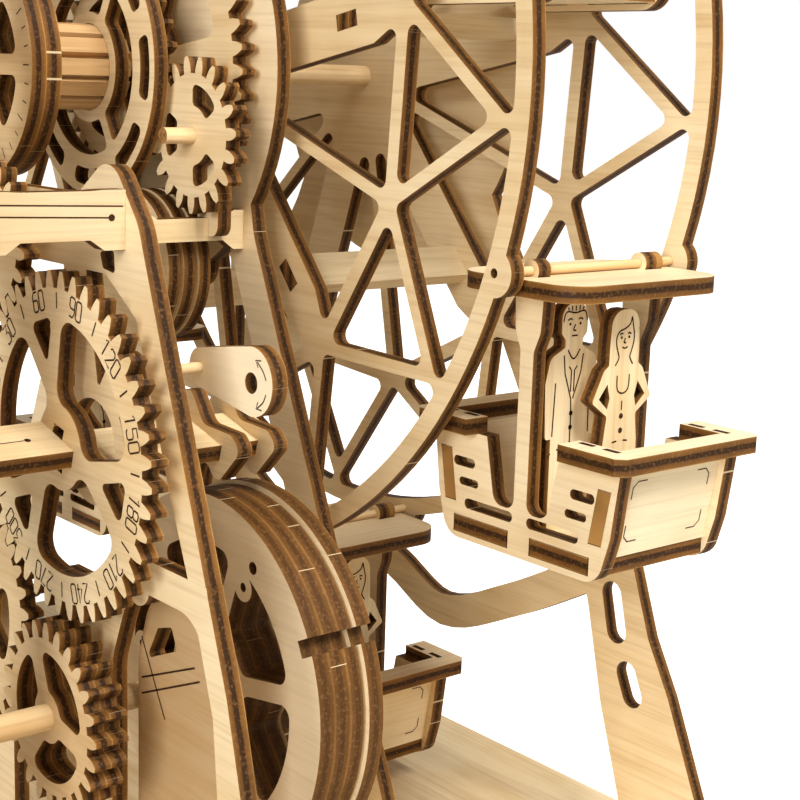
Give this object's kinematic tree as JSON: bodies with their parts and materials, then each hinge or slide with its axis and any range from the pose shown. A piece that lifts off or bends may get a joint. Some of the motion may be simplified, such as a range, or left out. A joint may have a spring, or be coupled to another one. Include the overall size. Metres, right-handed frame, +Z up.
{
  "type": "ferris wheel toy",
  "caption": "Hand-cranked plywood ferris wheel: twin spoked wheel discs with hanging gondolas and flat riders, on A-frames, driven by a spur gear train between two front frames.",
  "frame": {"origin": "on the underside of the base board, below the wheel's axis and midway between the two wheel discs", "axes": "+X right, +Y from the crank side to the back along the wheel's axle, +Z up"},
  "size_m": [0.32, 0.2266, 0.3416],
  "materials": {
    "plywood": "bare birch plywood with laser-browned edges",
    "dowel": "smooth pale hardwood dowel"
  },
  "bodies": {
    "frame": {"base_board": "plywood", "front_outer_frame": "plywood", "front_middle_frame": "plywood", "front_inner_frame": "plywood", "rear_frame": "plywood", "upper_beams": "plywood", "inner_beams": "plywood", "idler_arm": "plywood", "gear_pins": "dowel", "lever_peg": "dowel", "booth_panel": "plywood"},
    "wheel": {"wheel_near": "plywood", "wheel_far": "plywood", "wheel_spacers": "plywood", "gondola_rods": "dowel", "wheel_collars": "plywood", "wheel_axle": "dowel", "front_drive_gear": "plywood", "transfer_gear": "plywood", "wheel_gear": "plywood", "spool_dial": "plywood", "spool_flange": "plywood", "spool_core": "plywood"},
    "crank": {"crank_gear": "plywood", "crank_shaft": "plywood", "crank_handle": "plywood", "crank_claws": "plywood"},
    "upper_idler": {"upper_idler_gear": "plywood"},
    "lower_idler": {"lower_idler_gear": "plywood"},
    "drum": {"drum_layers": "plywood", "drum_pinion": "plywood", "drum_shaft": "dowel"},
    "timing": {"timing_gear": "plywood"},
    "pulley": {"guide_pulley": "plywood"},
    "lever_arm": {"lever": "plywood"},
    "gondola_1": {"gondola_1_sides": "plywood", "gondola_1_tub": "plywood", "gondola_1_roof": "plywood", "gondola_1_riders": "plywood"},
    "gondola_2": {"gondola_2_sides": "plywood", "gondola_2_tub": "plywood", "gondola_2_roof": "plywood", "gondola_2_riders": "plywood"},
    "gondola_3": {"gondola_3_sides": "plywood", "gondola_3_tub": "plywood", "gondola_3_roof": "plywood", "gondola_3_riders": "plywood"},
    "gondola_4": {"gondola_4_sides": "plywood", "gondola_4_tub": "plywood", "gondola_4_roof": "plywood", "gondola_4_riders": "plywood"},
    "gondola_5": {"gondola_5_sides": "plywood", "gondola_5_tub": "plywood", "gondola_5_roof": "plywood", "gondola_5_riders": "plywood"},
    "gondola_6": {"gondola_6_sides": "plywood", "gondola_6_tub": "plywood", "gondola_6_roof": "plywood", "gondola_6_riders": "plywood"}
  },
  "joints": [
    {"name": "wheel_spin", "type": "hinge", "parent": "frame", "child": "wheel", "pos_m": [0, 0, 0.208], "axis": [0, 1, 0], "continuous": true},
    {"name": "crank_turn", "type": "hinge", "parent": "frame", "child": "crank", "pos_m": [0.07783, 0, 0.12694], "axis": [0, 1, 0], "continuous": true},
    {"name": "upper_idler_spin", "type": "hinge", "parent": "frame", "child": "upper_idler", "pos_m": [0.04413, 0, 0.16841], "axis": [0, 1, 0], "continuous": true},
    {"name": "lower_idler_spin", "type": "hinge", "parent": "frame", "child": "lower_idler", "pos_m": [0.03135, 0, 0.08013], "axis": [0, 1, 0], "continuous": true},
    {"name": "drum_spin", "type": "hinge", "parent": "frame", "child": "drum", "pos_m": [0.07856, 0, 0.06605], "axis": [0, 1, 0], "continuous": true},
    {"name": "timing_spin", "type": "hinge", "parent": "frame", "child": "timing", "pos_m": [0.04045, 0, 0.19207], "axis": [0, 1, 0], "continuous": true},
    {"name": "gondola_1_swing", "type": "hinge", "parent": "wheel", "child": "gondola_1", "pos_m": [0.1233, 0, 0.16555], "axis": [0, 1, 0], "continuous": true},
    {"name": "gondola_2_swing", "type": "hinge", "parent": "wheel", "child": "gondola_2", "pos_m": [0.09841, 0, 0.29355], "axis": [0, 1, 0], "continuous": true},
    {"name": "gondola_3_swing", "type": "hinge", "parent": "wheel", "child": "gondola_3", "pos_m": [-0.02488, 0, 0.336], "axis": [0, 1, 0], "continuous": true},
    {"name": "gondola_4_swing", "type": "hinge", "parent": "wheel", "child": "gondola_4", "pos_m": [-0.1233, 0, 0.25045], "axis": [0, 1, 0], "continuous": true},
    {"name": "gondola_5_swing", "type": "hinge", "parent": "wheel", "child": "gondola_5", "pos_m": [-0.09841, 0, 0.12245], "axis": [0, 1, 0], "continuous": true},
    {"name": "gondola_6_swing", "type": "hinge", "parent": "wheel", "child": "gondola_6", "pos_m": [0.02488, 0, 0.08], "axis": [0, 1, 0], "continuous": true},
    {"name": "pulley_spin", "type": "hinge", "parent": "frame", "child": "pulley", "pos_m": [0.018, 0, 0.1576], "axis": [0, 1, 0], "continuous": true},
    {"name": "lever_tilt", "type": "hinge", "parent": "frame", "child": "lever_arm", "pos_m": [0.09, 0, 0.144], "axis": [0, 1, 0], "range_deg": [-14, 14]}
  ],
  "couplings": [
    {"joint": "crank_turn", "follows": "wheel_spin", "ratio": 1.1591},
    {"joint": "upper_idler_spin", "follows": "wheel_spin", "ratio": -2.55},
    {"joint": "lower_idler_spin", "follows": "wheel_spin", "ratio": -1.4571},
    {"joint": "drum_spin", "follows": "wheel_spin", "ratio": 2.125},
    {"joint": "timing_spin", "follows": "wheel_spin", "ratio": -1.4737},
    {"joint": "gondola_1_swing", "follows": "wheel_spin", "ratio": -1},
    {"joint": "gondola_2_swing", "follows": "wheel_spin", "ratio": -1},
    {"joint": "gondola_3_swing", "follows": "wheel_spin", "ratio": -1},
    {"joint": "gondola_4_swing", "follows": "wheel_spin", "ratio": -1},
    {"joint": "gondola_5_swing", "follows": "wheel_spin", "ratio": -1},
    {"joint": "gondola_6_swing", "follows": "wheel_spin", "ratio": -1}
  ]
}
